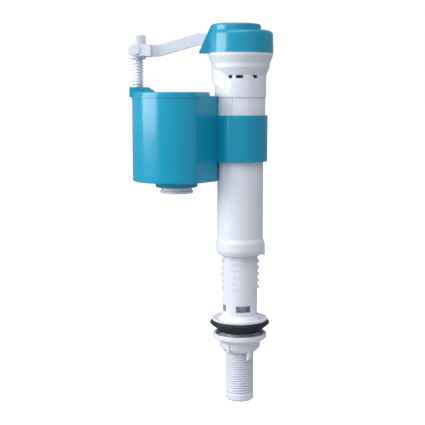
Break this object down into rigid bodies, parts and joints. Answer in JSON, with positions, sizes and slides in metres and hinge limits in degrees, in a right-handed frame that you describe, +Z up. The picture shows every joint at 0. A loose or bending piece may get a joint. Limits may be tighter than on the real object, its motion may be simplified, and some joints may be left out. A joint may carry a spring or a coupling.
{
  "type": "toilet fill valve",
  "caption": "Bottom-inlet toilet fill valve with a telescopic white column, a side float cup, a lever with a threaded rod and a screw cap.",
  "frame": {"origin": "centre of the open lower end of the threaded tail", "axes": "+Z up along the column; -X towards the float cup; -Y is the front"},
  "size_m": [0.1049, 0.068, 0.2784],
  "materials": {
    "white_plastic": "moulded white acetal, satin gloss",
    "teal_plastic": "moulded teal ABS, glossy",
    "black_rubber": "moulded black rubber",
    "pin_steel": "drawn stainless pin",
    "float_foam": "closed-cell foam"
  },
  "bodies": {
    "tail": {"tail_tube": "white_plastic", "supply_tube": "white_plastic", "supply_o_rings": "black_rubber", "inlet_filter": "white_plastic", "flow_restrictor": "white_plastic", "cone_seal": "black_rubber"},
    "nut": {"wing_nut": "white_plastic"},
    "lock": {"lock_ring": "white_plastic"},
    "column": {"outer_tube": "white_plastic", "riser_tube": "white_plastic", "head_body": "white_plastic", "head_o_ring": "black_rubber", "diaphragm": "black_rubber", "pilot_cover": "white_plastic", "cap": "teal_plastic", "lever_pin": "pin_steel", "float_cup": "teal_plastic", "cup_lid": "teal_plastic", "drain_collar": "teal_plastic"},
    "core": {"diaphragm_core": "white_plastic"},
    "lever": {"lever_arm": "white_plastic", "pilot_pad": "black_rubber"},
    "swivel": {"rod_swivel": "white_plastic"},
    "float": {"float_block": "float_foam"},
    "rod": {"float_rod": "white_plastic"},
    "drain": {"drain_plug": "white_plastic", "drain_seal": "black_rubber"}
  },
  "joints": [
    {"name": "nut_travel", "type": "slide", "parent": "tail", "child": "nut", "axis": [0, 0, 1], "range_m": [-0.048, 0.0015]},
    {"name": "height_adjust", "type": "slide", "parent": "tail", "child": "lock", "axis": [0, 0, 1], "range_m": [-0.025, 0.04]},
    {"name": "head_turn", "type": "hinge", "parent": "lock", "child": "column", "pos_m": [0, 0, 0.116], "axis": [0, 0, 1], "range_deg": [-90, 90]},
    {"name": "core_lift", "type": "slide", "parent": "column", "child": "core", "axis": [0, 0, 1], "range_m": [0, 0.001]},
    {"name": "lever_swing", "type": "hinge", "parent": "column", "child": "lever", "pos_m": [-0.0145, 0, 0.2642], "axis": [0, 1, 0], "range_deg": [0, 7.7]},
    {"name": "swivel_rock", "type": "hinge", "parent": "lever", "child": "swivel", "pos_m": [-0.0763, 0, 0.2596], "axis": [0, 1, 0], "range_deg": [-8, 0]},
    {"name": "level_adjust", "type": "slide", "parent": "swivel", "child": "float", "axis": [0, 0, 1], "range_m": [-0.005, 0.005]},
    {"name": "rod_spin", "type": "hinge", "parent": "float", "child": "rod", "pos_m": [-0.0745, 0, 0.24], "axis": [0, 0, 1], "range_deg": [-860, 860]},
    {"name": "drain_lift", "type": "slide", "parent": "column", "child": "drain", "axis": [0, 0, 1], "range_m": [0, 0.0025]}
  ],
  "couplings": [
    {"joint": "swivel_rock", "follows": "lever_swing", "ratio": -1},
    {"joint": "rod_spin", "follows": "level_adjust", "rad_per_m": 2992}
  ]
}
